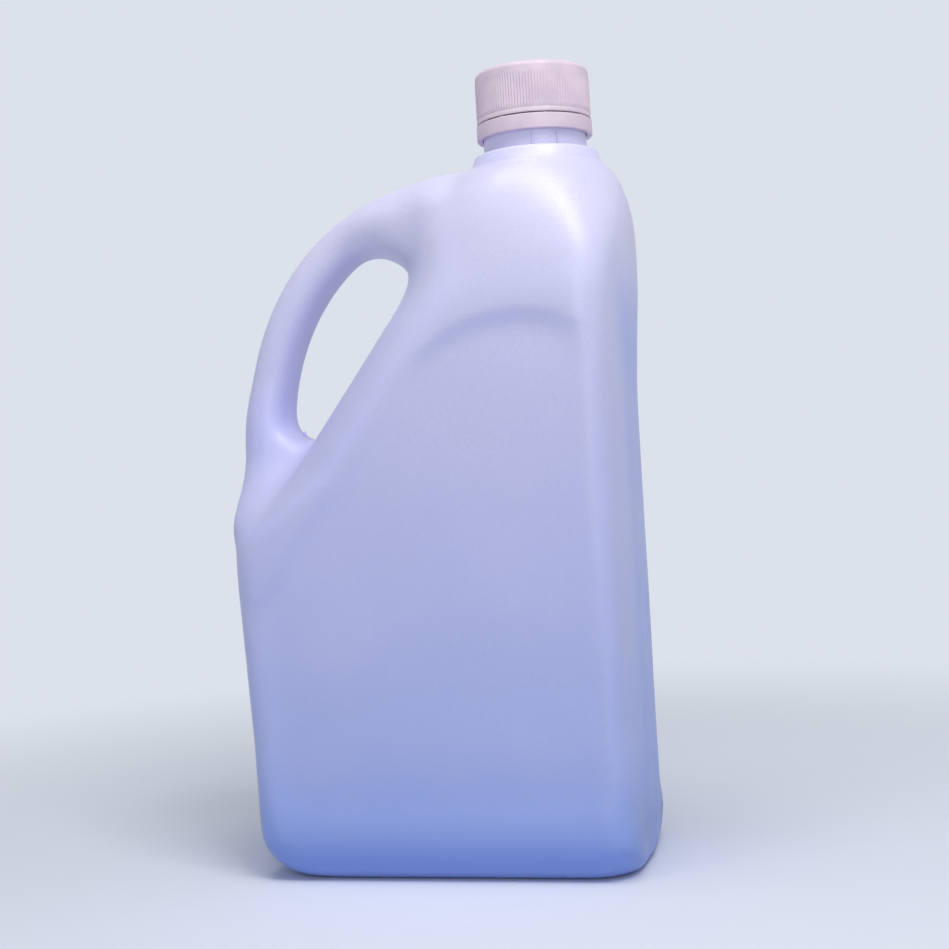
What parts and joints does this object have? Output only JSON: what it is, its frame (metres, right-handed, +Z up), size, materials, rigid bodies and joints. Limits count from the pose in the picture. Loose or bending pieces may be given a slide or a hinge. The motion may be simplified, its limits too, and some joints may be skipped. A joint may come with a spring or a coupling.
{
  "type": "plastic jug",
  "caption": "Blow-moulded plastic jug with a hollow handle blown in one with the body, a sloped shoulder beside it and a ribbed screw cap with tamper ring.",
  "frame": {"origin": "on the floor, under the middle of the jug's outer box", "axes": "+X from the handle to the neck side, +Y from the front to the back, +Z up"},
  "size_m": [0.1505, 0.082, 0.2851],
  "materials": {
    "milky_plastic": "milky translucent polyethylene, semi-matte",
    "cap_plastic": "opaque moulded plastic, satin",
    "liner_foam": "plain foam disc, matte"
  },
  "bodies": {
    "jug": {"jug_body": "milky_plastic", "tamper_ring": "cap_plastic"},
    "liner": {"cap_liner": "liner_foam"},
    "cap": {"screw_cap": "cap_plastic"}
  },
  "joints": [
    {"name": "cap_lift", "type": "slide", "parent": "jug", "child": "liner", "axis": [0, 0, 1], "range_m": [0, 0.0085]},
    {"name": "cap_turn", "type": "hinge", "parent": "liner", "child": "cap", "pos_m": [0.0417, 0, 0.2705], "axis": [0, 0, 1], "range_deg": [0, 720]}
  ],
  "couplings": [
    {"joint": "cap_lift", "follows": "cap_turn", "m_per_rad": 0.00067376}
  ]
}
